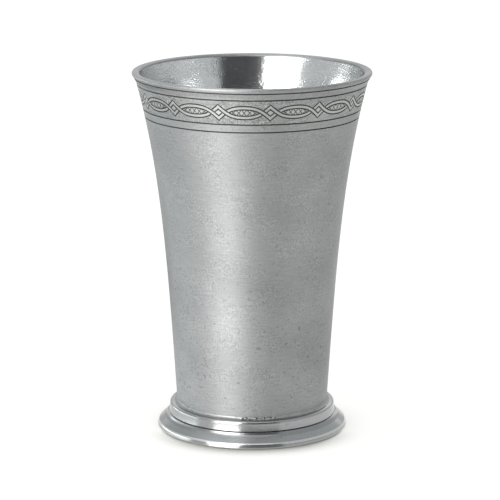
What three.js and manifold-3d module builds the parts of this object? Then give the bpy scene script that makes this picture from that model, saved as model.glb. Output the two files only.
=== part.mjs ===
// A pewter beaker: a flared wall with an engraved band, a floor disc and a stepped foot,
// held together by two rings of solder. Millimetres, +Z up, standing on z = 0 round the Z axis.

import * as THREE from 'three';
import { mergeVertices } from 'three/addons/utils/BufferGeometryUtils.js';
import Module from 'manifold-3d';

// Wall: outside radius where it leaves the foot, then a straight taper plus a flare that grows to the lip.
const CUP_HEIGHT = 130;
const WALL_FOOT_RADIUS = 27.25;
const WALL_TAPER = 7.55;
const WALL_FLARE = 7.1;
const FLARE_POWER = 3.6;
const WALL_THICKNESS = 1.9;

// Lip: the top of the wall turns out a little further; its outer edge is crisp and its inner edge eased.
const LIP_OVERHANG = 0.8;
const LIP_TURN = 2.4;
const LIP_EDGE = 0.55;
const LIP_EASE = 1.5;
const LIP_DROP = 0.9;

// Turned lines: two pairs, one above and one below the engraved band.
const LINE_WIDTH = 0.45;
const LINE_DEPTH = 0.3;
const BAND_DROP = 4.2;
const BAND_HEIGHT = 8.65;
const UPPER_LINE_GAP = 2.45;
const LOWER_LINE_GAP = 2.8;

// Engraved band: two ribbons that cross, each with a round crest and a sharp point in every repeat.
const RIBBON_REPEATS = 14;
const RIBBON_WIDTH = 1.25;
const RIBBON_DEPTH = 0.3;
const RIBBON_CREST = 1.8;
const RIBBON_POINT = 2.1;
const RIBBON_ROUNDNESS = 2.2;
const FIRST_KNOT_DEGREES = -81;

// Foot, from the table up: rounded edge, hollow skirt, crease, collar. Widths are measured out from the wall.
const EDGE_HEIGHT = 2.45;
const EDGE_BULGE = 0.7;
const EDGE_SPREAD = 0.25;
const SKIRT_RISE = 2.6;
const SKIRT_REACH = 3.8;
const SKIRT_HOLLOW = 0.25;
const SKIRT_STEP = 0.55;
const CREASE_WIDTH = 0.35;
const CREASE_DEPTH = 0.4;
const COLLAR_HEIGHT = 4.05;
const COLLAR_THICKNESS = 2.5;
const COLLAR_FLARE = 0.4;
const COLLAR_DROP = 1.2;
const COLLAR_ROUND = 1.3;

// Foot, underneath: the flat base it stands on, the recess, and the seat that carries wall and floor.
const BASE_WIDTH = 2.4;
const RECESS_HEIGHT = 2.8;
const RECESS_DRAFT = 0.8;
const SEAT_THICKNESS = 1.7;
const SEAT_WIDTH = 3.2;

// Floor disc and the rebate in the wall that holds it.
const FLOOR_THICKNESS = 2;
const REBATE_DEPTH = 0.9;
const FLOOR_CLEARANCE = 0.1;

// Solder: the film between wall and collar, and the fillets in the two corners.
const SOLDER_FILM = 0.15;
const FOOT_FILLET = 0.9;
const FLOOR_FILLET = 1.2;

// Fineness of the curves.
const ROUND_SEGMENTS = 56;
const WALL_STEPS = 8;
const CURVE_STEPS = 5;
const RIBBON_STEPS = 8;

// Heights and radii that follow from the sizes above.
const collarBase = EDGE_HEIGHT + SKIRT_RISE;
const collarTop = collarBase + COLLAR_HEIGHT;
const seatHeight = RECESS_HEIGHT + SEAT_THICKNESS;
const floorTop = seatHeight + FLOOR_THICKNESS;
const wallInside = WALL_FOOT_RADIUS - WALL_THICKNESS;
const rebateRadius = wallInside + REBATE_DEPTH;
const socketRadius = WALL_FOOT_RADIUS + SOLDER_FILM;
const collarRadius = socketRadius + COLLAR_THICKNESS;
const edgeRoot = collarRadius + SKIRT_REACH;
const filletTop = collarTop + FOOT_FILLET;
const lipHeight = CUP_HEIGHT - LIP_DROP;
const bandTop = CUP_HEIGHT - BAND_DROP;
const bandBottom = bandTop - BAND_HEIGHT;
const lineHeights = [bandBottom - LOWER_LINE_GAP, bandBottom, bandTop, bandTop + UPPER_LINE_GAP];

const wasm = await Module();
wasm.setup();

// Outside radius of the wall; inside the foot it is a plain cylinder.
function wallRadius(height) {
  const share = Math.max(0, (height - collarTop) / (lipHeight - collarTop));
  return WALL_FOOT_RADIUS + WALL_TAPER * share + WALL_FLARE * share ** FLARE_POWER;
}

// The same with the lip's last turn outwards.
function outsideRadius(height) {
  const share = Math.max(0, 1 - (lipHeight - height) / LIP_TURN);
  return wallRadius(height) + LIP_OVERHANG * share;
}

// A closed outline of radius and height, turned round the Z axis.
function turned(outline) {
  const geometry = new THREE.LatheGeometry(outline.getPoints(CURVE_STEPS), ROUND_SEGMENTS);
  return geometry.rotateX(Math.PI / 2);
}

function bodyOutline() {
  const outline = new THREE.Path();
  outline.moveTo(rebateRadius, seatHeight);
  outline.lineTo(WALL_FOOT_RADIUS, seatHeight);
  outline.lineTo(WALL_FOOT_RADIUS, collarTop);

  // Up the outside to the lowest turned line.
  const plainTop = lineHeights[0] - LINE_WIDTH / 2;
  for (let step = 0; step < WALL_STEPS; step += 1) {
    const height = THREE.MathUtils.lerp(filletTop, plainTop, step / WALL_STEPS);
    outline.lineTo(wallRadius(height), height);
  }

  // Each turned line is a small V; the top one is cut where the lip turns out.
  for (const height of lineHeights) {
    for (const [across, deep] of [[-0.5, 0], [0, 1], [0.5, 0]]) {
      const level = height + across * LINE_WIDTH;
      outline.lineTo(outsideRadius(level) - deep * LINE_DEPTH, level);
    }
  }

  // Lip with its two rounded edges, then down the inside to the rebate.
  const lipOutside = outsideRadius(lipHeight);
  const lipInside = wallRadius(lipHeight) - WALL_THICKNESS;
  outline.lineTo(lipOutside, lipHeight);
  outline.lineTo(lipOutside, CUP_HEIGHT - LIP_EDGE);
  outline.quadraticCurveTo(lipOutside, CUP_HEIGHT, lipOutside - LIP_EDGE, CUP_HEIGHT);
  outline.lineTo(lipInside + LIP_EASE, CUP_HEIGHT);
  outline.quadraticCurveTo(lipInside, CUP_HEIGHT, lipInside, lipHeight);
  for (let step = 1; step <= WALL_STEPS; step += 1) {
    const height = THREE.MathUtils.lerp(lipHeight, collarTop, step / WALL_STEPS);
    outline.lineTo(wallRadius(height) - WALL_THICKNESS, height);
  }
  outline.lineTo(wallInside, floorTop);
  outline.lineTo(rebateRadius, floorTop);
  outline.closePath();
  return outline;
}

// Height of a ribbon above the middle of the band: a sharp point at each knot, a round crest half-way between.
function ribbonHeight(angle) {
  const turns = angle / (2 * Math.PI) * RIBBON_REPEATS;
  const away = 2 * Math.abs(turns - Math.round(turns));
  return RIBBON_CREST - (RIBBON_CREST + RIBBON_POINT) * (1 - away) ** RIBBON_ROUNDNESS;
}

// A closed cutter with a diamond section that follows one ribbon round the wall. Side is 1 or -1.
function ribbonCutter(side) {
  const count = RIBBON_REPEATS * RIBBON_STEPS;
  const middle = (bandTop + bandBottom) / 2;
  const firstKnot = THREE.MathUtils.degToRad(FIRST_KNOT_DEGREES);
  const path = [];
  for (let step = 0; step < count; step += 1) {
    const angle = 2 * Math.PI * step / count;
    const height = middle + side * ribbonHeight(angle);
    const radius = wallRadius(height);
    const turn = angle + firstKnot;
    path.push(new THREE.Vector3(radius * Math.cos(turn), radius * Math.sin(turn), height));
  }

  const corners = [];
  const faces = [];
  for (let step = 0; step < count; step += 1) {
    const next = (step + 1) % count;
    const along = path[next].clone().sub(path[(step + count - 1) % count]).normalize();
    const out = new THREE.Vector3(path[step].x, path[step].y, 0).normalize();
    const across = along.clone().cross(out).normalize();
    const section = [[1, 0], [0, 1], [-1, 0], [0, -1]];
    section.forEach(([wide, deep], corner) => {
      const point = path[step].clone();
      point.addScaledVector(across, wide * RIBBON_WIDTH / 2);
      point.addScaledVector(out, deep * RIBBON_DEPTH);
      corners.push(point.x, point.y, point.z);
      const after = (corner + 1) % section.length;
      const [here, there] = [step * section.length, next * section.length];
      faces.push(here + corner, there + corner, there + after);
      faces.push(here + corner, there + after, here + after);
    });
  }
  const geometry = new THREE.BufferGeometry();
  geometry.setAttribute('position', new THREE.Float32BufferAttribute(corners, 3));
  geometry.setIndex(faces);
  return geometry;
}

// three.js geometry to a solid that can be cut, and back.
function toSolid(geometry) {
  const bare = geometry.clone();
  bare.deleteAttribute('normal');
  bare.deleteAttribute('uv');
  const merged = mergeVertices(bare, 1e-4);
  const vertProperties = new Float32Array(merged.getAttribute('position').array);
  const triVerts = new Uint32Array(merged.index.array);
  return new wasm.Manifold(new wasm.Mesh({ numProp: 3, vertProperties, triVerts }));
}

function toGeometry(solid) {
  const mesh = solid.getMesh();
  const geometry = new THREE.BufferGeometry();
  geometry.setAttribute('position', new THREE.Float32BufferAttribute(mesh.vertProperties, mesh.numProp));
  geometry.setIndex([...mesh.triVerts]);
  return geometry;
}

function bodyWall() {
  let wall = toSolid(turned(bodyOutline()));
  for (const side of [1, -1]) {
    wall = wall.subtract(toSolid(ribbonCutter(side)));
  }
  return toGeometry(wall);
}

function floorDisc() {
  const radius = rebateRadius - FLOOR_CLEARANCE;
  const outline = new THREE.Path();
  outline.moveTo(0, seatHeight);
  outline.lineTo(radius, seatHeight);
  outline.lineTo(radius, floorTop);
  outline.lineTo(0, floorTop);
  return turned(outline);
}

function footRing() {
  const holeRadius = WALL_FOOT_RADIUS - SEAT_WIDTH;
  const baseOutside = edgeRoot + EDGE_SPREAD;
  const baseInside = baseOutside - BASE_WIDTH;
  const outline = new THREE.Path();
  outline.moveTo(baseInside, 0);
  outline.lineTo(baseOutside, 0);

  // Rounded edge, widest at its middle.
  const bulgeRadius = edgeRoot + 2 * EDGE_BULGE - EDGE_SPREAD / 2;
  outline.quadraticCurveTo(bulgeRadius, EDGE_HEIGHT / 2, edgeRoot, EDGE_HEIGHT);

  // Hollow skirt up to the crease, where the collar is set back.
  const skirtTop = collarRadius + SKIRT_STEP;
  const skirtRadius = (edgeRoot + skirtTop) / 2 - SKIRT_HOLLOW;
  const skirtHeight = (EDGE_HEIGHT + collarBase) / 2 - SKIRT_HOLLOW;
  outline.quadraticCurveTo(skirtRadius, skirtHeight, skirtTop, collarBase);
  const collarFoot = collarBase + CREASE_WIDTH;
  outline.lineTo(collarRadius + COLLAR_FLARE - CREASE_DEPTH, collarBase + CREASE_WIDTH / 2);
  outline.lineTo(collarRadius + COLLAR_FLARE, collarFoot);

  // Collar, a little wider at its foot and rounded at its top edge.
  outline.quadraticCurveTo(collarRadius, collarFoot + COLLAR_FLARE, collarRadius, collarTop - COLLAR_DROP);
  outline.quadraticCurveTo(collarRadius, collarTop, collarRadius - COLLAR_ROUND, collarTop);

  // Socket, seat, and the recess underneath.
  outline.lineTo(socketRadius, collarTop);
  outline.lineTo(socketRadius, seatHeight);
  outline.lineTo(holeRadius, seatHeight);
  outline.lineTo(holeRadius, RECESS_HEIGHT);
  outline.lineTo(baseInside - RECESS_DRAFT, RECESS_HEIGHT);
  outline.closePath();
  return turned(outline);
}

// Solder film down the socket, with a hollow fillet between the collar's ledge and the wall.
function footSolder() {
  const outline = new THREE.Path();
  outline.moveTo(WALL_FOOT_RADIUS, seatHeight);
  outline.lineTo(socketRadius, seatHeight);
  outline.lineTo(socketRadius, collarTop);
  outline.lineTo(socketRadius + FOOT_FILLET, collarTop);
  outline.quadraticCurveTo(socketRadius, collarTop, wallRadius(filletTop), filletTop);
  outline.lineTo(WALL_FOOT_RADIUS, collarTop);
  outline.closePath();
  return turned(outline);
}

// Hollow fillet in the corner between the floor and the inside of the wall.
function floorSolder() {
  const outline = new THREE.Path();
  outline.moveTo(wallInside, floorTop);
  outline.lineTo(wallInside, floorTop + FLOOR_FILLET);
  outline.quadraticCurveTo(wallInside, floorTop, wallInside - FLOOR_FILLET, floorTop);
  outline.closePath();
  return turned(outline);
}

function piece(name, geometry, color, roughness) {
  const material = new THREE.MeshStandardMaterial({ color, roughness, metalness: 1 });
  const mesh = new THREE.Mesh(geometry, material);
  mesh.name = name;
  return mesh;
}

const cup = new THREE.Group();
cup.add(
  piece('body_wall', bodyWall(), 0xb4b6b4, 0.36),
  piece('floor_disc', floorDisc(), 0xb8baba, 0.28),
  piece('foot_ring', footRing(), 0xb2b4b1, 0.26),
  piece('foot_solder', footSolder(), 0x9fa29d, 0.45),
  piece('floor_solder', floorSolder(), 0xa9aca9, 0.35),
);

export default cup;
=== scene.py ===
# %% [markdown]
# A pewter beaker
#
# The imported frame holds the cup's five pieces at their real size. This lesson gives each of them the
# fine shape and the finish of the real metal: smooth turned curves, an engraved band, a soldered foot.
# Blender works in metres, in the same frame as the solids, so nothing has to be fitted afterwards.

# %% Load the frame
import math

import bpy
import numpy as np
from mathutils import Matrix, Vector


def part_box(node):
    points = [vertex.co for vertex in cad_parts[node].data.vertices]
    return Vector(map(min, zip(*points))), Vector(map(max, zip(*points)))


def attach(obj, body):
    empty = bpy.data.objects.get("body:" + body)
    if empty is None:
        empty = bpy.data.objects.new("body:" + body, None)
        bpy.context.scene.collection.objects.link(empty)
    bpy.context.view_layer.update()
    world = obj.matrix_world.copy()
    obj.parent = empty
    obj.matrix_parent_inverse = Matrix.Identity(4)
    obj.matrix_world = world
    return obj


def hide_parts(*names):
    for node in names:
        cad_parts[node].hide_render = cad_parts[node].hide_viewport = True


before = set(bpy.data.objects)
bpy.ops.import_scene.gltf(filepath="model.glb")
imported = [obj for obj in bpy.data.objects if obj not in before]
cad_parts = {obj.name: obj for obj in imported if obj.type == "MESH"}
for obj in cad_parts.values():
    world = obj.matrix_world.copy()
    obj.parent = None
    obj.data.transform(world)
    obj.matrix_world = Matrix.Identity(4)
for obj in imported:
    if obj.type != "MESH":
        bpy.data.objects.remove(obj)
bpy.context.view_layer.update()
print("Solids:", sorted(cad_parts))

# %% [markdown]
# Camera
#
# The rim and the foot are ellipses in the photograph, and how round each one is tells the angle from
# which it is seen: about 9 degrees at the rim and 17 at the foot. That fixes a camera less than a metre
# away with a long lens, above the rim and tilted down, so there is clear perspective in the picture.

# %% Camera
EYE_BACK = 0.8958
EYE_UP = 0.2685
EYE_LEFT = 0.00072
LOOK_DOWN = math.radians(12.82)
LENS_MM = 183.48
SENSOR_MM = 36

bpy.ops.object.camera_add(
    location=(-EYE_LEFT, -EYE_BACK, EYE_UP),
    rotation=(math.radians(90) - LOOK_DOWN, 0, 0),
)
camera = bpy.context.object
camera.name = "photo_camera"
camera.data.lens = LENS_MM
camera.data.sensor_width = SENSOR_MM
camera.data.clip_start = 0.01
bpy.context.scene.camera = camera
print("Camera at", [round(v, 3) for v in camera.location], "metres")
print("It looks down", round(math.degrees(LOOK_DOWN), 1), "degrees")

# %% [markdown]
# Studio
#
# Polished metal shows its surroundings more than itself, so the light is set as for a product picture:
# a white floor, even light all round and soft boxes where the metal should shine. A dark card in front
# makes the dark half of the cup, and one that lies on the floor calms its upper left side. Boxes and
# cards show only in the metal. The left box and the front card stand side by side, and their border is
# the crisp line between white and dark on the polished foot and inside the rim.
#
# The floor could be lit until it is white, but then the cup would be too bright. Its paper glows a
# little instead, only where it is looked at, and the glow fades in a painted shadow round the foot.

# %% White floor
scene = bpy.context.scene
scene.view_settings.view_transform = "Standard"

FLOOR_COLOUR = (0.71, 0.695, 0.65)
FLOOR_GLOW = 0.6
FLOOR_SIZE = 12
CONTACT_REACH = 0.012
FRONT_STARTS = -0.01
FRONT_ENDS = -0.03
SHADE_BEHIND = 0.6
SHADE_IN_FRONT = 4.8


def white_floor():
    material = bpy.data.materials.new("white_floor")
    material.use_nodes = True
    nodes, links = material.node_tree.nodes, material.node_tree.links
    nodes.clear()
    paper = nodes.new("ShaderNodeBsdfDiffuse")
    paper.inputs["Color"].default_value = (*FLOOR_COLOUR, 1)
    glow = nodes.new("ShaderNodeEmission")

    # Less glow is left in the corner where the foot meets the paper: a painted contact shadow. It is
    # painted deepest in front of the cup, by the floor's Y, and no lamp casts it.
    corner = nodes.new("ShaderNodeAmbientOcclusion")
    corner.inputs["Distance"].default_value = CONTACT_REACH
    closed = nodes.new("ShaderNodeMath")
    closed.operation = "SUBTRACT"
    closed.inputs[0].default_value = 1
    links.new(corner.outputs["AO"], closed.inputs[1])
    place = nodes.new("ShaderNodeTexCoord")
    sides = nodes.new("ShaderNodeSeparateXYZ")
    links.new(place.outputs["Object"], sides.inputs["Vector"])
    # Painted shadow: the glow is cut more in front of the cup than behind it.
    painted_front_shade = nodes.new("ShaderNodeMapRange")
    painted_front_shade.inputs["From Min"].default_value = FRONT_STARTS
    painted_front_shade.inputs["From Max"].default_value = FRONT_ENDS
    painted_front_shade.inputs["To Min"].default_value = SHADE_BEHIND * FLOOR_GLOW
    painted_front_shade.inputs["To Max"].default_value = SHADE_IN_FRONT * FLOOR_GLOW
    links.new(sides.outputs["Y"], painted_front_shade.inputs["Value"])
    shade = nodes.new("ShaderNodeMath")
    shade.operation = "MULTIPLY"
    links.new(closed.outputs["Value"], shade.inputs[0])
    links.new(painted_front_shade.outputs["Result"], shade.inputs[1])
    rest = nodes.new("ShaderNodeMath")
    rest.operation = "SUBTRACT"
    rest.use_clamp = True
    rest.inputs[0].default_value = FLOOR_GLOW
    links.new(shade.outputs["Value"], rest.inputs[1])
    links.new(rest.outputs["Value"], glow.inputs["Strength"])
    bright = nodes.new("ShaderNodeAddShader")
    links.new(paper.outputs["BSDF"], bright.inputs[0])
    links.new(glow.outputs["Emission"], bright.inputs[1])

    # The glow only lifts the paper to white where it is looked at, straight or in the metal.
    path = nodes.new("ShaderNodeLightPath")
    seen = path.outputs["Is Camera Ray"]
    for ray in ("Is Glossy Ray", "Is Transmission Ray"):
        either = nodes.new("ShaderNodeMath")
        either.operation = "MAXIMUM"
        links.new(seen, either.inputs[0])
        links.new(path.outputs[ray], either.inputs[1])
        seen = either.outputs["Value"]
    mix = nodes.new("ShaderNodeMixShader")
    links.new(seen, mix.inputs["Fac"])
    links.new(paper.outputs["BSDF"], mix.inputs[1])
    links.new(bright.outputs["Shader"], mix.inputs[2])
    output = nodes.new("ShaderNodeOutputMaterial")
    links.new(mix.outputs["Shader"], output.inputs["Surface"])
    return material


bpy.ops.object.select_all(action="DESELECT")
bpy.ops.mesh.primitive_plane_add(size=FLOOR_SIZE, location=(0, 0, 0))
floor = bpy.context.object
floor.name = "studio_floor"
floor.data.materials.append(white_floor())
print("Floor", [round(side, 1) for side in floor.dimensions[:2]], "metres")

# %% Soft boxes
BOX_AWAY = 0.8
BOX_TURN = math.radians(-34.5)
BOX_WIDTH = 0.5
BOX_HEIGHT = 0.75
BOX_WATTS = 8.2
UPPER_HEIGHT = 1.75
UPPER_WATTS = 5.5
SIDE_AWAY = 0.9
SIDE_TURN = math.radians(-108)
SIDE_WIDTH = 1.0
SIDE_HEIGHT = 0.1
SIDE_WATTS = 1.85
TOP_AWAY = 0.8
TOP_TURN = math.radians(-80)
TOP_WIDTH = 0.8
TOP_HEIGHT = 1.6
TOP_STAND = 0.6
TOP_WATTS = 1.8
BACK_AWAY = 0.5
BACK_TURN = math.pi
BACK_WIDTH = 0.7
BACK_HEIGHT = 2.4
BACK_STAND = 0.15
BACK_WATTS = 2.6
CARD_AWAY = 0.75
CARD_TURN = math.radians(9.8)
CARD_WIDTH = 0.77
CARD_HEIGHT = 0.75
FRONT_HEIGHT = 1.15
FRONT_WATTS = 2.1
WARM = (1.0, 0.985, 0.97)
COOL = (0.93, 0.98, 1.0)


def round_the_cup(turn, away, height):
    return (away * math.sin(turn), -away * math.cos(turn), height)


def soft_box(name, turn, away, width, height, stand, watts, colour):
    bpy.ops.object.light_add(
        type="AREA",
        location=round_the_cup(turn, away, stand + height / 2),
        rotation=(math.radians(90), 0, turn),
    )
    box = bpy.context.object
    box.name = name
    box.data.shape = "RECTANGLE"
    box.data.size = width
    box.data.size_y = height
    box.data.energy = watts
    box.data.color = colour
    box.visible_camera = False
    box.visible_diffuse = False
    return box


boxes = [
    soft_box("left_soft_box", BOX_TURN, BOX_AWAY, BOX_WIDTH, BOX_HEIGHT, 0, BOX_WATTS, WARM),
    soft_box("upper_soft_box", BOX_TURN, BOX_AWAY, BOX_WIDTH, UPPER_HEIGHT, BOX_HEIGHT, UPPER_WATTS, WARM),
    soft_box("side_soft_box", SIDE_TURN, SIDE_AWAY, SIDE_WIDTH, SIDE_HEIGHT, 0, SIDE_WATTS, COOL),
    soft_box("top_soft_box", TOP_TURN, TOP_AWAY, TOP_WIDTH, TOP_HEIGHT, TOP_STAND, TOP_WATTS, COOL),
    soft_box(
        "front_soft_box", CARD_TURN, CARD_AWAY, CARD_WIDTH, FRONT_HEIGHT, CARD_HEIGHT, FRONT_WATTS, WARM
    ),
    soft_box("back_soft_box", BACK_TURN, BACK_AWAY, BACK_WIDTH, BACK_HEIGHT, BACK_STAND, BACK_WATTS, WARM),
]
print("Soft boxes:", [box.name for box in boxes])

# %% Dark cards and even light
FLOOR_CARD_AWAY = 0.26
FLOOR_CARD_TURN = math.radians(-128)
FLOOR_CARD_WIDTH = 0.36
FLOOR_CARD_DEPTH = 0.24
FLOOR_CARD_LEVEL = 0.001
CARD_COLOUR = (0.085, 0.085, 0.09)
CARD_ROUGHNESS = 0.9
ROOM_LIGHT = (0.68, 0.7, 0.705)

black = bpy.data.materials.new("black_card")
black.use_nodes = True
black_paper = black.node_tree.nodes["Principled BSDF"]
black_paper.inputs["Base Color"].default_value = (*CARD_COLOUR, 1)
black_paper.inputs["Roughness"].default_value = CARD_ROUGHNESS


def dark_card(name, location, rotation, width, height):
    bpy.ops.mesh.primitive_plane_add(size=1, location=location, rotation=rotation)
    card = bpy.context.object
    card.name = name
    card.scale = (width, height, 1)
    card.data.materials.append(black)
    card.visible_camera = False
    card.visible_shadow = False
    card.visible_diffuse = False
    print(name, [round(side, 2) for side in (width, height)], "metres")


standing = round_the_cup(CARD_TURN, CARD_AWAY, CARD_HEIGHT / 2)
dark_card("dark_card", standing, (math.radians(90), 0, CARD_TURN), CARD_WIDTH, CARD_HEIGHT)
lying = round_the_cup(FLOOR_CARD_TURN, FLOOR_CARD_AWAY, FLOOR_CARD_LEVEL)
dark_card("dark_floor_card", lying, (0, 0, FLOOR_CARD_TURN), FLOOR_CARD_WIDTH, FLOOR_CARD_DEPTH)

world = bpy.data.worlds.new("studio_world")
scene.world = world
world.use_nodes = True
world.node_tree.nodes["Background"].inputs["Color"].default_value = (*ROOM_LIGHT, 1)
print("Room light:", ROOM_LIGHT)

# %% [markdown]
# Sizes
#
# Heights and radii are in millimetres, as on a turner's drawing. What the solids already say is read
# from the frame. The wall is a straight taper plus a flare that grows quickly near the lip: one formula
# gives its outside radius at any height. Over the last few millimetres the lip turns out a little more.

# %% Sizes of the cup
MM = 0.001


def top_mm(node):
    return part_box(node)[1].z / MM


def bottom_mm(node):
    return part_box(node)[0].z / MM


def radius_mm(node):
    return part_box(node)[1].x / MM


cup_height = top_mm("body_wall")
rim_radius = radius_mm("body_wall")
seat_height = bottom_mm("body_wall")
collar_top = top_mm("foot_ring")
foot_radius = radius_mm("foot_ring")
floor_top = top_mm("floor_disc")
floor_radius = radius_mm("floor_disc")
foot_fillet_top = top_mm("foot_solder")
foot_fillet_radius = radius_mm("foot_solder")
wall_inside = radius_mm("floor_solder")
floor_fillet_top = top_mm("floor_solder")

WALL_THICKNESS = 1.9
WALL_FLARE = 7.1
FLARE_POWER = 3.6
LIP_OVERHANG = 0.8
LIP_TURN = 2.4
LIP_EDGE = 0.55
LIP_EASE = 1.5
LIP_DROP = 0.9

wall_foot_radius = wall_inside + WALL_THICKNESS
lip_height = cup_height - LIP_DROP
wall_taper = rim_radius - LIP_OVERHANG - WALL_FLARE - wall_foot_radius


def wall_radius(height):
    share = max(0.0, (height - collar_top) / (lip_height - collar_top))
    return wall_foot_radius + wall_taper * share + WALL_FLARE * share ** FLARE_POWER


def outside_radius(height):
    share = max(0.0, 1 - (lip_height - height) / LIP_TURN)
    return wall_radius(height) + LIP_OVERHANG * share


for part, level in (("foot", collar_top), ("middle", cup_height / 2), ("lip", lip_height)):
    print("Wall radius at the", part, round(wall_radius(level), 2), "mm")

# %% [markdown]
# Finishes
#
# Pewter is mostly tin: a soft grey metal that tarnishes to a darker, slightly blue-green grey. The
# outside of the wall was turned and rubbed to satin, so fine lines run round it and stretch the
# highlights up and down. Tarnish lies on it in clouds and a fine mottle, and years of use left small
# dents, most of them low on the wall. The inside and the foot are brighter and smoother. A photograph of
# metal could be laid on instead, but noise has no seams and keeps its scale on every piece. One function
# makes all the finishes, with its numbers changed.

# %% Pewter
NOISE_RANGE = (0.3, 0.7)
CLOUDS_PER_METRE = 45
CLOUD_TONE = (0.38, 0.62)
SPECKS_PER_METRE = 1700
PATCHES_PER_METRE = 130
PATCH_RANGE = (0.4, 0.64)
PATCH_AMOUNT = (0.2, 0.9)
LINES_PER_METRE = (220, 220, 2600)
DENTS_PER_METRE = 640
DENT_RANGE = (0.63, 0.69)
DENT_DULLNESS = 0.1
WORN_BELOW = 0.03
FRESH_ABOVE = 0.115
FRESH_SHARE = 0.35
QUARTER_TURN = 0.25
RELIEF_STRENGTH = 0.35
RELIEF_DEPTH = 0.0001


def pewter(name, dark, light, smooth, rough, streak, grain, denting):
    material = bpy.data.materials.new(name)
    material.use_nodes = True
    nodes, links = material.node_tree.nodes, material.node_tree.links
    shader = nodes["Principled BSDF"]
    shader.inputs["Metallic"].default_value = 1
    shader.inputs["Anisotropic"].default_value = streak
    shader.inputs["Anisotropic Rotation"].default_value = QUARTER_TURN
    place = nodes.new("ShaderNodeTexCoord")

    def noise(scale, detail, stretch=(1, 1, 1)):
        mapping = nodes.new("ShaderNodeMapping")
        mapping.inputs["Scale"].default_value = stretch
        links.new(place.outputs["Object"], mapping.inputs["Vector"])
        texture = nodes.new("ShaderNodeTexNoise")
        texture.inputs["Scale"].default_value = scale
        texture.inputs["Detail"].default_value = detail
        links.new(mapping.outputs["Vector"], texture.inputs["Vector"])
        return texture.outputs["Fac"]

    def spread(value, low, high, to_low, to_high):
        node = nodes.new("ShaderNodeMapRange")
        node.inputs["From Min"].default_value = low
        node.inputs["From Max"].default_value = high
        node.inputs["To Min"].default_value = to_low
        node.inputs["To Max"].default_value = to_high
        links.new(value, node.inputs["Value"])
        return node.outputs["Result"]

    def arithmetic(kind, first, second):
        node = nodes.new("ShaderNodeMath")
        node.operation = kind
        for socket, value in zip(node.inputs, (first, second)):
            if isinstance(value, (int, float)):
                socket.default_value = value
            else:
                links.new(value, socket)
        return node.outputs["Value"]

    clouds = noise(CLOUDS_PER_METRE, 2)
    specks = noise(SPECKS_PER_METRE, 2)
    patches = spread(noise(PATCHES_PER_METRE, 3), *PATCH_RANGE, *PATCH_AMOUNT)
    lines = noise(1, 2, LINES_PER_METRE)
    height = nodes.new("ShaderNodeSeparateXYZ")
    links.new(place.outputs["Object"], height.inputs["Vector"])
    wear = spread(height.outputs["Z"], FRESH_ABOVE, WORN_BELOW, FRESH_SHARE, 1)
    dent = spread(noise(DENTS_PER_METRE, 4), *DENT_RANGE, 0, denting)
    dent = arithmetic("MULTIPLY", dent, wear)
    fine = arithmetic("MULTIPLY", spread(specks, *NOISE_RANGE, -grain, grain), patches)

    # Tarnish: clouds and specks shift the grey, dents darken it.
    tone = arithmetic("ADD", spread(clouds, *NOISE_RANGE, *CLOUD_TONE), fine)
    tone = arithmetic("ADD", tone, spread(lines, *NOISE_RANGE, -grain / 4, grain / 4))
    tone = arithmetic("SUBTRACT", tone, dent)
    colour = nodes.new("ShaderNodeValToRGB")
    colour.color_ramp.elements[0].color = (*dark, 1)
    colour.color_ramp.elements[1].color = (*light, 1)
    links.new(tone, colour.inputs["Fac"])
    links.new(colour.outputs["Color"], shader.inputs["Base Color"])

    # Satin: tarnished and dented places are rougher.
    dull = arithmetic("MULTIPLY", dent, DENT_DULLNESS)
    dull = arithmetic("ADD", spread(clouds, *NOISE_RANGE, rough, smooth), dull)
    links.new(dull, shader.inputs["Roughness"])

    # Specks, turning lines and dents stand in the surface.
    relief = arithmetic("ADD", fine, spread(lines, *NOISE_RANGE, -grain / 3, grain / 3))
    relief = arithmetic("SUBTRACT", relief, dent)
    bump = nodes.new("ShaderNodeBump")
    bump.inputs["Strength"].default_value = RELIEF_STRENGTH
    bump.inputs["Distance"].default_value = RELIEF_DEPTH
    links.new(relief, bump.inputs["Height"])
    links.new(bump.outputs["Normal"], shader.inputs["Normal"])

    # The turned grain runs round the cup's axis, and a highlight stretches across it.
    turning = nodes.new("ShaderNodeTangent")
    turning.direction_type = "RADIAL"
    turning.axis = "Z"
    links.new(turning.outputs["Tangent"], shader.inputs["Tangent"])
    return material


print("Specks, lines and dents at most", RELIEF_DEPTH / MM, "mm deep")

# %% Finishes of the cup
wall_finish = pewter(
    "pewter_satin_wall", dark=(0.24, 0.25, 0.253), light=(0.46, 0.465, 0.47),
    smooth=0.54, rough=0.6, streak=0.5, grain=0.38, denting=0.45,
)
inside_finish = pewter(
    "pewter_bright_inside", dark=(0.55, 0.565, 0.57), light=(0.73, 0.74, 0.74),
    smooth=0.14, rough=0.18, streak=0.2, grain=0.6, denting=0.1,
)
ribbon_finish = pewter(
    "pewter_rubbed_ribbon", dark=(0.34, 0.35, 0.35), light=(0.56, 0.565, 0.56),
    smooth=0.45, rough=0.52, streak=0.5, grain=0.3, denting=0.2,
)
ground_finish = pewter(
    "pewter_matted_ground", dark=(0.16, 0.17, 0.17), light=(0.5, 0.51, 0.51),
    smooth=0.5, rough=0.6, streak=0.3, grain=0.6, denting=0.5,
)
cut_finish = pewter(
    "pewter_tarnished_cut", dark=(0.05, 0.052, 0.052), light=(0.13, 0.132, 0.13),
    smooth=0.5, rough=0.65, streak=0.0, grain=0.3, denting=0.3,
)
foot_finish = pewter(
    "pewter_polished_foot", dark=(0.29, 0.3, 0.305), light=(0.43, 0.435, 0.435),
    smooth=0.2, rough=0.26, streak=0.75, grain=0.2, denting=0.3,
)
dull_finish = pewter(
    "pewter_dull_hollow", dark=(0.23, 0.24, 0.245), light=(0.35, 0.355, 0.355),
    smooth=0.26, rough=0.31, streak=0.7, grain=0.2, denting=0.3,
)
worn_finish = pewter(
    "pewter_worn_edge", dark=(0.52, 0.53, 0.53), light=(0.68, 0.685, 0.68),
    smooth=0.2, rough=0.28, streak=0.6, grain=0.2, denting=0.2,
)
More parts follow.
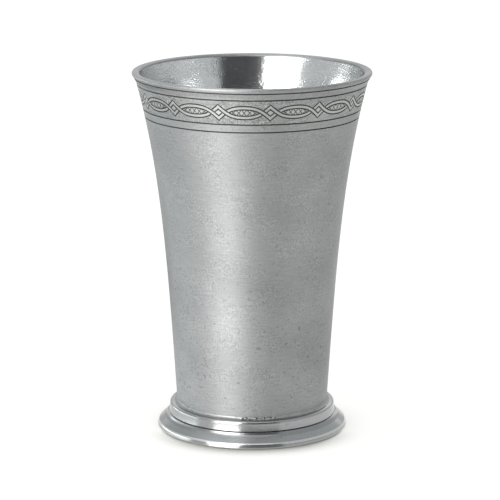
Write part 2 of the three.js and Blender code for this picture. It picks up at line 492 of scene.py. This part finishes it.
floor_finish = pewter(
    "pewter_bright_floor", dark=(0.42, 0.43, 0.43), light=(0.54, 0.54, 0.53),
    smooth=0.2, rough=0.28, streak=0.3, grain=0.3, denting=0.3,
)
solder_finish = pewter(
    "solder_seam", dark=(0.22, 0.23, 0.225), light=(0.46, 0.465, 0.46),
    smooth=0.4, rough=0.5, streak=0.0, grain=0.5, denting=0.4,
)
rough_finish = pewter(
    "solder_left_rough", dark=(0.04, 0.042, 0.04), light=(0.5, 0.505, 0.5),
    smooth=0.4, rough=0.55, streak=0.0, grain=1.3, denting=0.7,
)
finishes = [m.name for m in bpy.data.materials if m.name.startswith(("pewter_", "solder_"))]
print("Finishes:", finishes)

# %% [markdown]
# Turning a piece
#
# Every piece of this cup is round, so it is made as on a lathe: half of its outline is drawn, and the
# outline is spun round the Z axis. The outline starts as one vertex, what is left of a small plane when
# its corners are merged, and it is extruded from point to point. After the spin the seam is merged and
# the faces are turned outwards.

# %% Outline and spin
COLUMNS_PER_KNOT = 20
KNOTS = 14
SPIN_STEPS = COLUMNS_PER_KNOT * KNOTS
MERGE_DISTANCE = 0.000005


def draw_outline(name, outline):
    points = [Vector((radius * MM, 0, height * MM)) for radius, height in outline]
    bpy.ops.object.select_all(action="DESELECT")
    bpy.ops.mesh.primitive_plane_add(size=MM)
    piece = bpy.context.object
    piece.name = name
    piece.data.name = name
    bpy.ops.object.mode_set(mode="EDIT")
    bpy.ops.mesh.select_mode(type="VERT")
    bpy.ops.mesh.merge(type="CENTER")
    bpy.ops.transform.translate(value=points[0])
    for here, there in zip(points, points[1:]):
        bpy.ops.mesh.extrude_region_move(TRANSFORM_OT_translate={"value": there - here})
    return piece


def spin_outline(steps):
    bpy.ops.mesh.select_all(action="SELECT")
    bpy.ops.mesh.spin(steps=steps, angle=2 * math.pi, center=(0, 0, 0), axis=(0, 0, 1))
    bpy.ops.mesh.select_all(action="SELECT")
    bpy.ops.mesh.remove_doubles(threshold=MERGE_DISTANCE)
    bpy.ops.mesh.normals_make_consistent(inside=False)
    bpy.ops.object.mode_set(mode="OBJECT")


def turned_piece(name, outline, material, sharp_angle=35, steps=SPIN_STEPS):
    piece = draw_outline(name, outline)
    spin_outline(steps)
    piece.data.materials.append(material)
    bpy.ops.object.shade_smooth_by_angle(angle=math.radians(sharp_angle))
    print(name, "faces:", len(piece.data.polygons))
    return piece


def arc(centre, radius, start, end, steps):
    angles = [math.radians(start + (end - start) * step / steps) for step in range(steps + 1)]
    return [(centre[0] + radius * math.cos(a), centre[1] + radius * math.sin(a)) for a in angles]


def weigh(weights, corners):
    return tuple(sum(w * corner[axis] for w, corner in zip(weights, corners)) for axis in (0, 1))


def curve(start, control, end, steps):
    points = []
    for step in range(steps + 1):
        t = step / steps
        weights = ((1 - t) ** 2, 2 * t * (1 - t), t * t)
        points.append(weigh(weights, (start, control, end)))
    return points


def climb(low, high, steps, inset=0.0):
    heights = [low + (high - low) * step / steps for step in range(steps + 1)]
    radius = wall_radius if inset else outside_radius
    return [(radius(height) - inset, height) for height in heights]


print("Spin steps:", SPIN_STEPS)

# %% [markdown]
# The wall
#
# The wall's outline runs from the top of the engraved band over the lip, down the inside, round the
# rebate that holds the floor, and up the outside to the bottom of the band. The band itself is left
# open here: it is engraved in the flat and wrapped round later, with the same number of columns, so the
# two meet vertex to vertex. Each turned line is a small round-bottomed V.

# %% Wall outline
LINE_WIDTH = 0.45
LINE_DEPTH = 0.3
BAND_DROP = 4.2
BAND_HEIGHT = 8.65
UPPER_LINE_GAP = 2.45
LOWER_LINE_GAP = 2.8
REBATE_DEPTH = 0.9

band_top = cup_height - BAND_DROP
band_bottom = band_top - BAND_HEIGHT
top_line = band_top + UPPER_LINE_GAP
bottom_line = band_bottom - LOWER_LINE_GAP
strip_top = band_top - LINE_WIDTH / 2
strip_bottom = band_bottom + LINE_WIDTH / 2


def turned_line(height):
    profile = ((-0.5, 0), (-0.22, 0.75), (0, 1), (0.22, 0.75), (0.5, 0))
    points = []
    for across, deep in profile:
        level = height + across * LINE_WIDTH
        points.append((outside_radius(level) - deep * LINE_DEPTH, level))
    return points


lip_outside = outside_radius(lip_height)
lip_inside = wall_radius(lip_height) - WALL_THICKNESS
lip_base = lip_height - LIP_TURN
rebate_radius = wall_inside + REBATE_DEPTH
half_line = LINE_WIDTH / 2

wall_outline = turned_line(band_top)
wall_outline += climb(lip_base, top_line - half_line, 4)[:-1]
wall_outline += turned_line(top_line)
wall_outline += [(lip_outside, lip_height)]
wall_outline += arc((lip_outside - LIP_EDGE, cup_height - LIP_EDGE), LIP_EDGE, 0, 90, 8)
lip_corner = (lip_inside, cup_height)
wall_outline += curve((lip_inside + LIP_EASE, cup_height), lip_corner, (lip_inside, lip_height), 8)
wall_outline += climb(lip_height, collar_top, 26, WALL_THICKNESS)[1:]
wall_outline += [(wall_inside, floor_top), (rebate_radius, floor_top), (rebate_radius, seat_height)]
wall_outline += [(wall_foot_radius, seat_height), (wall_foot_radius, collar_top)]
wall_outline += climb(foot_fillet_top, bottom_line - half_line, 26)[:-1]
wall_outline += turned_line(bottom_line)
wall_outline += turned_line(band_bottom)

wall = draw_outline("pewter_wall", wall_outline)
spin_outline(SPIN_STEPS)
wall.data.materials.append(wall_finish)
wall.data.materials.append(inside_finish)
print("Wall outline points:", len(wall_outline), "faces:", len(wall.data.polygons))

# %% [markdown]
# The engraved band
#
# Two ribbons run round the cup. Each rises to a round crest and drops to a sharp point, and where they
# meet they weave: the one that goes down to the right passes over. Crosses fill the space between the
# crests. An engraver cuts the outlines as narrow grooves. Here one repeat is cut in a flat slab with a
# Boolean, where the metal stays perfectly smooth. It is then repeated with an Array and wrapped on.

# %% Ribbon lines in the flat
RIBBON_WIDTH = 1.25
CREST = 1.8
POINT = 2.1
RISE = (3.2, 0.9)
BEND = 5.0
CURVE_POINTS = 22
CLEAR_OF_BENDS = 0.985

band_middle = (band_top + band_bottom) / 2
strip_length = math.hypot(strip_top - strip_bottom, wall_radius(strip_top) - wall_radius(strip_bottom))
repeat = 2 * math.pi * wall_radius(band_middle) / KNOTS


def half_ribbon():
    corners = ((0, -POINT), RISE, (BEND, CREST), (repeat / 2, CREST))
    points = []
    for step in range(CURVE_POINTS + 1):
        t = step / CURVE_POINTS
        weights = ((1 - t) ** 3, 3 * t * (1 - t) ** 2, 3 * t * t * (1 - t), t ** 3)
        points.append(weigh(weights, corners))
    return np.array(points)


def ribbon(side):
    rising = half_ribbon()
    falling = rising[::-1] * (-1, 1)
    one = np.vstack([falling[:-1], rising[:-1]])
    line = np.vstack([one + (turn * repeat, 0) for turn in (-1, 0, 1)])
    return line * (1, side)


def distance_to(points, line):
    starts, ends = line[:-1], line[1:]
    along = ends - starts
    share = ((points[:, None] - starts) * along).sum(2) / (along ** 2).sum(1)
    nearest = starts + np.clip(share, 0, 1)[..., None] * along
    return np.linalg.norm(points[:, None] - nearest, axis=2).min(1)


def edge_line(line, offset):
    along = np.diff(line, axis=0)
    along /= np.linalg.norm(along, axis=1)[:, None]
    normals = np.column_stack([-along[:, 1], along[:, 0]])
    middle = normals[1:] + normals[:-1]
    middle /= (middle * normals[1:]).sum(1)[:, None]
    edge = line[1:-1] + offset * middle
    return edge[distance_to(edge, line) > abs(offset) * CLEAR_OF_BENDS]


low_ribbon = ribbon(1)
high_ribbon = ribbon(-1)
print("Repeat", round(repeat, 2), "mm, strip", round(strip_length, 2), "mm tall")
print("Points of a ribbon:", len(low_ribbon))

# %% Strokes of the engraver
FIRST_COLUMN = -9
CROSSES = 5
CROSS_PITCH = 1.88
CROSS_HALF_WIDTH = 0.86
CROSS_FILL = 0.95
STROKE_OVERRUN = 1.2

strip_left = FIRST_COLUMN * repeat / COLUMNS_PER_KNOT
strip_right = strip_left + repeat


def runs(points, keep):
    kept = []
    current = []
    for point, good in zip(points, keep):
        if good:
            current.append(point)
        elif current:
            kept.append(current)
            current = []
    kept.append(current)
    return [np.array(run) for run in kept if len(run) > 1]


def ribbon_strokes(line, over, under_side):
    strokes = []
    for offset in (RIBBON_WIDTH / 2, -RIBBON_WIDTH / 2):
        edge = edge_line(line, offset)
        within = (edge[:, 0] > strip_left - STROKE_OVERRUN) & (edge[:, 0] < strip_right + STROKE_OVERRUN)
        edge = edge[within]
        turn = np.round(edge[:, 0] / repeat)
        from_knot = edge[:, 0] - turn * repeat
        hidden = (distance_to(edge, over) < RIBBON_WIDTH / 2) & (from_knot * under_side > 0)
        strokes += runs(edge, ~hidden)
    return strokes


def cross_strokes():
    strokes = []
    rising = half_ribbon()
    for lens in (-repeat / 2, repeat / 2):
        for count in range(CROSSES):
            away = (count - (CROSSES - 1) / 2) * CROSS_PITCH
            middle = lens + away
            if not strip_left < middle < strip_right:
                continue
            room = np.interp(repeat / 2 - abs(away), rising[:, 0], rising[:, 1]) - RIBBON_WIDTH / 2
            tall = room * CROSS_FILL
            wide = CROSS_HALF_WIDTH
            strokes.append(np.array([(middle - wide, -tall), (middle + wide, tall)]))
            strokes.append(np.array([(middle - wide, tall), (middle + wide, -tall)]))
    return strokes


outline_strokes = ribbon_strokes(low_ribbon, high_ribbon, 1)
outline_strokes += ribbon_strokes(high_ribbon, low_ribbon, -1)
hatch_strokes = cross_strokes()
print("Outline strokes:", len(outline_strokes), "hatch strokes:", len(hatch_strokes))

# %% [markdown]
# Cutting the strip
#
# The slab is drawn a thousand times too big, one unit to a millimetre, because a Boolean is safest when
# its numbers are near one. Every stroke is a thin round tube along its line, half sunk in the slab. All
# tubes are one curve object, so that a single Boolean takes them away together, with the places where
# strokes cross. Then the sides and the back of the slab are deleted, and only the engraved skin is left.

# %% Slab
SLAB_DEPTH = 1.0
STRIP_ROWS = 8

bpy.ops.object.select_all(action="DESELECT")
bpy.ops.mesh.primitive_grid_add(x_subdivisions=COLUMNS_PER_KNOT, y_subdivisions=STRIP_ROWS, size=1)
strip = bpy.context.object
strip.name = "engraved_strip"
for finish in (wall_finish, inside_finish, ribbon_finish, ground_finish, cut_finish):
    strip.data.materials.append(finish)
bpy.ops.object.mode_set(mode="EDIT")
bpy.ops.transform.resize(value=(repeat, strip_length, 1))
bpy.ops.transform.translate(value=((strip_left + strip_right) / 2, 0, 0))
bpy.ops.mesh.extrude_region_move(TRANSFORM_OT_translate={"value": (0, 0, -SLAB_DEPTH)})
bpy.ops.mesh.select_all(action="SELECT")
bpy.ops.mesh.normals_make_consistent(inside=False)
bpy.ops.object.mode_set(mode="OBJECT")
print("Slab:", [round(side, 2) for side in strip.dimensions], "mm")

# %% Strokes cut away
OUTLINE_RADIUS = 0.23
HATCH_SHARE = 0.55

burin = bpy.data.curves.new("strokes", "CURVE")
burin.dimensions = "3D"
burin.bevel_depth = OUTLINE_RADIUS
burin.bevel_resolution = 1
burin.use_fill_caps = True
for strokes, share in ((outline_strokes, 1), (hatch_strokes, HATCH_SHARE)):
    for stroke in strokes:
        spline = burin.splines.new("POLY")
        spline.points.add(len(stroke) - 1)
        for place, (x, y) in zip(spline.points, stroke):
            place.co = (x, y, 0, 1)
            place.radius = share
tubes = bpy.data.objects.new("strokes", burin)
scene.collection.objects.link(tubes)
bpy.ops.object.select_all(action="DESELECT")
bpy.context.view_layer.objects.active = tubes
tubes.select_set(True)
bpy.ops.object.convert(target="MESH")
tubes = bpy.context.object

bpy.context.view_layer.objects.active = strip
cut = strip.modifiers.new("cut", "BOOLEAN")
cut.operation = "DIFFERENCE"
cut.solver = "EXACT"
cut.use_self = True
cut.object = tubes
bpy.ops.object.modifier_apply(modifier=cut.name)
bpy.data.objects.remove(tubes)
print("Faces of one engraved repeat:", len(strip.data.polygons))

# %% Keep the skin and name its surfaces
TOUCH = 0.001
CUT_LEVEL = -0.004


def select_faces(piece, chosen):
    bpy.ops.object.select_all(action="DESELECT")
    piece.select_set(True)
    bpy.context.view_layer.objects.active = piece
    bpy.ops.object.mode_set(mode="EDIT")
    bpy.ops.mesh.select_mode(type="FACE")
    bpy.ops.mesh.select_all(action="DESELECT")
    bpy.ops.object.mode_set(mode="OBJECT")
    piece.data.polygons.foreach_set("select", np.asarray(chosen, dtype=bool))
    bpy.ops.object.mode_set(mode="EDIT")


def face_places(piece):
    count = len(piece.data.polygons)
    centres = np.empty(count * 3)
    normals = np.empty(count * 3)
    piece.data.polygons.foreach_get("center", centres)
    piece.data.polygons.foreach_get("normal", normals)
    return centres.reshape(-1, 3), normals.reshape(-1, 3)


centres, _ = face_places(strip)
back = centres[:, 2] < -SLAB_DEPTH + TOUCH
sides = (abs(centres[:, 0] - strip_left) < TOUCH) | (abs(centres[:, 0] - strip_right) < TOUCH)
ends = abs(abs(centres[:, 1]) - strip_length / 2) < TOUCH
select_faces(strip, back | sides | ends)
bpy.ops.mesh.delete(type="FACE")
bpy.ops.mesh.select_all(action="SELECT")
bpy.ops.mesh.quads_convert_to_tris(quad_method="BEAUTY", ngon_method="BEAUTY")
bpy.ops.object.mode_set(mode="OBJECT")

INSIDE_SLOT, RIBBON_SLOT, GROUND_SLOT, CUT_SLOT = 1, 2, 3, 4
centres, _ = face_places(strip)
is_cut = centres[:, 2] < CUT_LEVEL
near = np.minimum(distance_to(centres[:, :2], low_ribbon), distance_to(centres[:, :2], high_ribbon))
between = abs(centres[:, 1]) < abs(np.interp(centres[:, 0], low_ribbon[:, 0], low_ribbon[:, 1]))
bright = (near < RIBBON_WIDTH / 2) | between
surface = np.where(is_cut, CUT_SLOT, np.where(bright, RIBBON_SLOT, GROUND_SLOT))
strip.data.polygons.foreach_set("material_index", surface.astype(np.int32))
for kind, slot in (("Ribbon", RIBBON_SLOT), ("Ground", GROUND_SLOT), ("Cut", CUT_SLOT)):
    print(kind, "faces:", int((surface == slot).sum()))

# %% Repeat the strip and wrap it on the wall
FIRST_KNOT = math.radians(-81)
BORDER_MERGE = 0.004

bpy.ops.object.select_all(action="DESELECT")
strip.select_set(True)
bpy.context.view_layer.objects.active = strip
row = strip.modifiers.new("row", "ARRAY")
row.count = KNOTS
row.use_relative_offset = False
row.use_constant_offset = True
row.constant_offset_displace = (repeat, 0, 0)
row.use_merge_vertices = True
row.merge_threshold = BORDER_MERGE
bpy.ops.object.modifier_apply(modifier=row.name)

flat = np.empty(len(strip.data.vertices) * 3)
strip.data.vertices.foreach_get("co", flat)
flat = flat.reshape(-1, 3)
angle = FIRST_KNOT + flat[:, 0] / repeat * 2 * math.pi / KNOTS
level = band_middle + flat[:, 1] * (strip_top - strip_bottom) / strip_length
radius = np.array([wall_radius(h) for h in level]) + flat[:, 2]
wrapped = np.column_stack([radius * np.cos(angle), radius * np.sin(angle), level]) * MM
strip.data.vertices.foreach_set("co", wrapped.ravel())
strip.data.update()
print("Band faces:", len(strip.data.polygons))

# %% Join band and wall
WALL_SHARP_ANGLE = 32

bpy.ops.object.select_all(action="DESELECT")
strip.select_set(True)
wall.select_set(True)
bpy.context.view_layer.objects.active = wall
for finish in (ribbon_finish, ground_finish, cut_finish):
    wall.data.materials.append(finish)
bpy.ops.object.join()
bpy.ops.object.mode_set(mode="EDIT")
bpy.ops.mesh.select_all(action="SELECT")
bpy.ops.mesh.remove_doubles(threshold=MERGE_DISTANCE)
bpy.ops.mesh.normals_make_consistent(inside=False)
bpy.ops.mesh.select_all(action="DESELECT")
bpy.ops.mesh.select_mode(type="EDGE")
bpy.ops.mesh.select_non_manifold()
bpy.ops.object.mode_set(mode="OBJECT")
open_edges = sum(edge.select for edge in wall.data.edges)
bpy.ops.object.shade_smooth_by_angle(angle=math.radians(WALL_SHARP_ANGLE))
print("Wall faces:", len(wall.data.polygons), "open edges:", open_edges)

# %% Bright inside and dark lines
LIP_RUB = 1

centres, normals = face_places(wall)
slots = np.empty(len(wall.data.polygons), dtype=np.int32)
wall.data.polygons.foreach_get("material_index", slots)
heights = centres[:, 2] / MM
outward = centres[:, 0] * normals[:, 0] + centres[:, 1] * normals[:, 1] > 0
inside = (slots == 0) & ~outward & (heights > floor_top) & (heights < lip_height - LIP_RUB)
in_line = np.zeros(len(slots), dtype=bool)
for line in (bottom_line, band_bottom, band_top, top_line):
    in_line |= outward & (slots == 0) & (abs(heights - line) < half_line)
slots[inside] = INSIDE_SLOT
slots[in_line] = CUT_SLOT
wall.data.polygons.foreach_set("material_index", slots)
print("Inside faces:", int(inside.sum()), "faces in turned lines:", int(in_line.sum()))

# %% [markdown]
# The foot
#
# The foot was cast and turned: an edge with a slightly sloped face, a skirt that turns steep just below
# a crease, and a collar that hides the end of the wall. Underneath it is hollow, so that it stands on a
# narrow ring. Its outline is a few curves, spun as before. Use rubs the edges bright, and the cloth that
# polishes the foot hardly reaches the hollow under the crease, so these faces get finishes of their own.

# %% Points of the foot
EDGE_HEIGHT = 2.2
EDGE_BULGE = 0.7
EDGE_SPREAD = 0.25
EDGE_CURL = 0.15
FACE_LOW = (-0.07, 0.65)
FACE_HIGH = (-0.28, 1.55)
ARRIS_INSET = 0.08
ARRIS_HEIGHT = 1.91
SKIRT_RISE = 2.95
SKIRT_REACH = 3.8
SKIRT_STEP = 0.85
COVE_REACH = 0.4
COVE_DROP = 0.95
COVE_START = 0.7
COVE_END = 0.4
CREASE_WIDTH = 0.35
CREASE_DEPTH = 0.4
COLLAR_FLARE = 0.3
WAIST_SHARE = 0.4
WAIST_RISE = 1
COLLAR_DROP = 1.2
COLLAR_ROUND = 1.3
BASE_WIDTH = 2.4
RECESS_HEIGHT = 2.8
RECESS_DRAFT = 0.8
SEAT_WIDTH = 3.2
SOLDER_FILM = 0.15


def part_way(start, end, share):
    return tuple(low + (high - low) * share for low, high in zip(start, end))


edge_root = foot_radius - EDGE_BULGE
collar_radius = edge_root - SKIRT_REACH
collar_base = EDGE_HEIGHT + SKIRT_RISE
socket_radius = wall_foot_radius + SOLDER_FILM
hole_radius = wall_foot_radius - SEAT_WIDTH
base_outside = edge_root + EDGE_SPREAD
base_inside = base_outside - BASE_WIDTH
edge_top = (edge_root, EDGE_HEIGHT)
face_low = (foot_radius + FACE_LOW[0], FACE_LOW[1])
face_high = (foot_radius + FACE_HIGH[0], FACE_HIGH[1])
skirt_top = (collar_radius + SKIRT_STEP, collar_base)
cove_foot = (skirt_top[0] + COVE_REACH, skirt_top[1] - COVE_DROP)
cove_start = part_way(edge_top, cove_foot, COVE_START)
cove_end = part_way(cove_foot, skirt_top, COVE_END)
crease = (collar_radius + COLLAR_FLARE - CREASE_DEPTH, collar_base + CREASE_WIDTH / 2)
collar_foot = (collar_radius + COLLAR_FLARE, collar_base + CREASE_WIDTH)
collar_waist = (collar_radius + COLLAR_FLARE * WAIST_SHARE, collar_foot[1] + WAIST_RISE)
collar_edge = (collar_radius, collar_top - COLLAR_DROP)
ledge = (collar_radius - COLLAR_ROUND, collar_top)
for form, top in (("edge", EDGE_HEIGHT), ("skirt", collar_base), ("collar", collar_top)):
    print("Top of the", form, round(top, 2), "mm")

# %% Foot
foot_outline = [(base_inside, 0)]
foot_outline += curve((base_outside, 0), (foot_radius, EDGE_CURL), face_low, 6)
foot_outline += curve(face_high, (face_high[0] - ARRIS_INSET, ARRIS_HEIGHT), edge_top, 8)
foot_outline += curve(cove_start, cove_foot, cove_end, 8)
foot_outline += [skirt_top, crease]
foot_outline += curve(collar_foot, collar_waist, collar_edge, 8)
foot_outline += curve(collar_edge, (collar_radius, collar_top), ledge, 8)[1:]
foot_outline += [(socket_radius, collar_top), (socket_radius, seat_height), (hole_radius, seat_height)]
foot_outline += [(hole_radius, RECESS_HEIGHT), (base_inside - RECESS_DRAFT, RECESS_HEIGHT)]
foot_outline += [(base_inside, 0)]
foot = turned_piece("pewter_foot", foot_outline, foot_finish)

# %% Worn edges and dull hollow of the foot
WORN_SLOT, DULL_SLOT = 1, 2

centres, normals = face_places(foot)
heights = centres[:, 2] / MM
outward = centres[:, 0] * normals[:, 0] + centres[:, 1] * normals[:, 1] > 0
on_edge = (heights < FACE_LOW[1]) | ((heights > FACE_HIGH[1]) & (heights < EDGE_HEIGHT))
in_hollow = (heights > cove_foot[1] - COVE_REACH) & (heights < collar_base)
foot.data.materials.append(worn_finish)
foot.data.materials.append(dull_finish)
slots = np.where(outward & on_edge, WORN_SLOT, np.where(outward & in_hollow, DULL_SLOT, 0))
foot.data.polygons.foreach_set("material_index", slots.astype(np.int32))
for kind, slot in (("Worn", WORN_SLOT), ("Dull", DULL_SLOT)):
    print(kind, "faces:", int((slots == slot).sum()))

# %% [markdown]
# Solder
#
# The joint between wall and collar was run with solder and scraped, so a thin uneven bead lies in the
# corner. It is a turned fillet whose points are pushed about a little, and more on one stretch in front
# that was left rough and has gone dark. The seam inside the cup was smoothed.

# %% Seam at the foot
SEAM_UNEVEN = 0.00003
ROUGH_UNEVEN = 0.00016
ROUGH_LEFT = -0.0045
ROUGH_RIGHT = 0.0085
FILLET_HOLLOW = 0.15
ROUGH_SLOT = 1

foot_seam_outline = [(wall_foot_radius, seat_height), (socket_radius, seat_height)]
foot_seam_outline += [(socket_radius, collar_top)]
foot_seam_outline += curve(
    (foot_fillet_radius, collar_top),
    (socket_radius + FILLET_HOLLOW, collar_top + FILLET_HOLLOW),
    (wall_radius(foot_fillet_top), foot_fillet_top),
    6,
)
foot_seam_outline += [(wall_foot_radius, collar_top), (wall_foot_radius, seat_height)]
foot_seam = turned_piece("solder_at_foot", foot_seam_outline, solder_finish, sharp_angle=60)
bpy.ops.object.mode_set(mode="EDIT")
bpy.ops.mesh.select_all(action="SELECT")
bpy.ops.transform.vertex_random(offset=SEAM_UNEVEN, uniform=1.0, normal=0.0, seed=4)
bpy.ops.object.mode_set(mode="OBJECT")
centres, _ = face_places(foot_seam)
in_front = (centres[:, 1] < 0) & (centres[:, 0] > ROUGH_LEFT) & (centres[:, 0] < ROUGH_RIGHT)
select_faces(foot_seam, in_front & (centres[:, 2] > collar_top * MM))
foot_seam.data.materials.append(rough_finish)
foot_seam.active_material_index = ROUGH_SLOT
bpy.ops.object.material_slot_assign()
bpy.ops.transform.vertex_random(offset=ROUGH_UNEVEN, uniform=1.0, normal=0.0, seed=7)
bpy.ops.object.mode_set(mode="OBJECT")
print("Rough stretch", round((ROUGH_RIGHT - ROUGH_LEFT) / MM, 1), "mm long")

# %% Seam inside the cup
floor_fillet = floor_fillet_top - floor_top

floor_seam_outline = [(wall_inside, floor_top)]
floor_seam_outline += curve(
    (wall_inside, floor_fillet_top),
    (wall_inside, floor_top),
    (wall_inside - floor_fillet, floor_top),
    8,
)
floor_seam_outline += [(wall_inside, floor_top)]
floor_seam = turned_piece("solder_at_floor", floor_seam_outline, floor_finish, sharp_angle=60)

# %% [markdown]
# The floor
#
# The floor is a flat disc, turned with a very shallow dish, with a small centre mark where the lathe
# held it. It shows only from above. A plain disc would do to hold a drink, but the dish and the mark
# catch the light as on a turned piece.

# %% Floor disc
DISH = 0.25
DISH_RADIUS = 20
DISH_FLAT = 12
CENTRE_MARK = 0.8
MARK_SIDE = 0.12
MARK_DEPTH = 0.16

floor_outline = [(0, seat_height), (floor_radius, seat_height), (floor_radius, floor_top)]
floor_outline += [(wall_inside - floor_fillet, floor_top)]
dish_bottom = floor_top - DISH
floor_outline += curve((DISH_RADIUS, floor_top), (DISH_FLAT, dish_bottom), (CENTRE_MARK, dish_bottom), 8)
floor_outline += [(CENTRE_MARK / 2, dish_bottom - MARK_SIDE), (0, dish_bottom - MARK_DEPTH)]
cup_floor = turned_piece("pewter_floor", floor_outline, floor_finish)

# %% [markdown]
# Into the frame
#
# Each new piece says which solid it stands for and rides on a body, and that solid is hidden.
# Nothing on this cup moves, so there is one body.

# %% Frame
pieces = {
    wall: ("body_wall", "wall_pewter"),
    cup_floor: ("floor_disc", "floor_pewter"),
    foot: ("foot_ring", "foot_pewter"),
    foot_seam: ("foot_solder", "solder"),
    floor_seam: ("floor_solder", "solder"),
}
for piece, (node, slot) in pieces.items():
    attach(piece, "root")
    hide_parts(node)
    print(piece.name, "stands for", node)
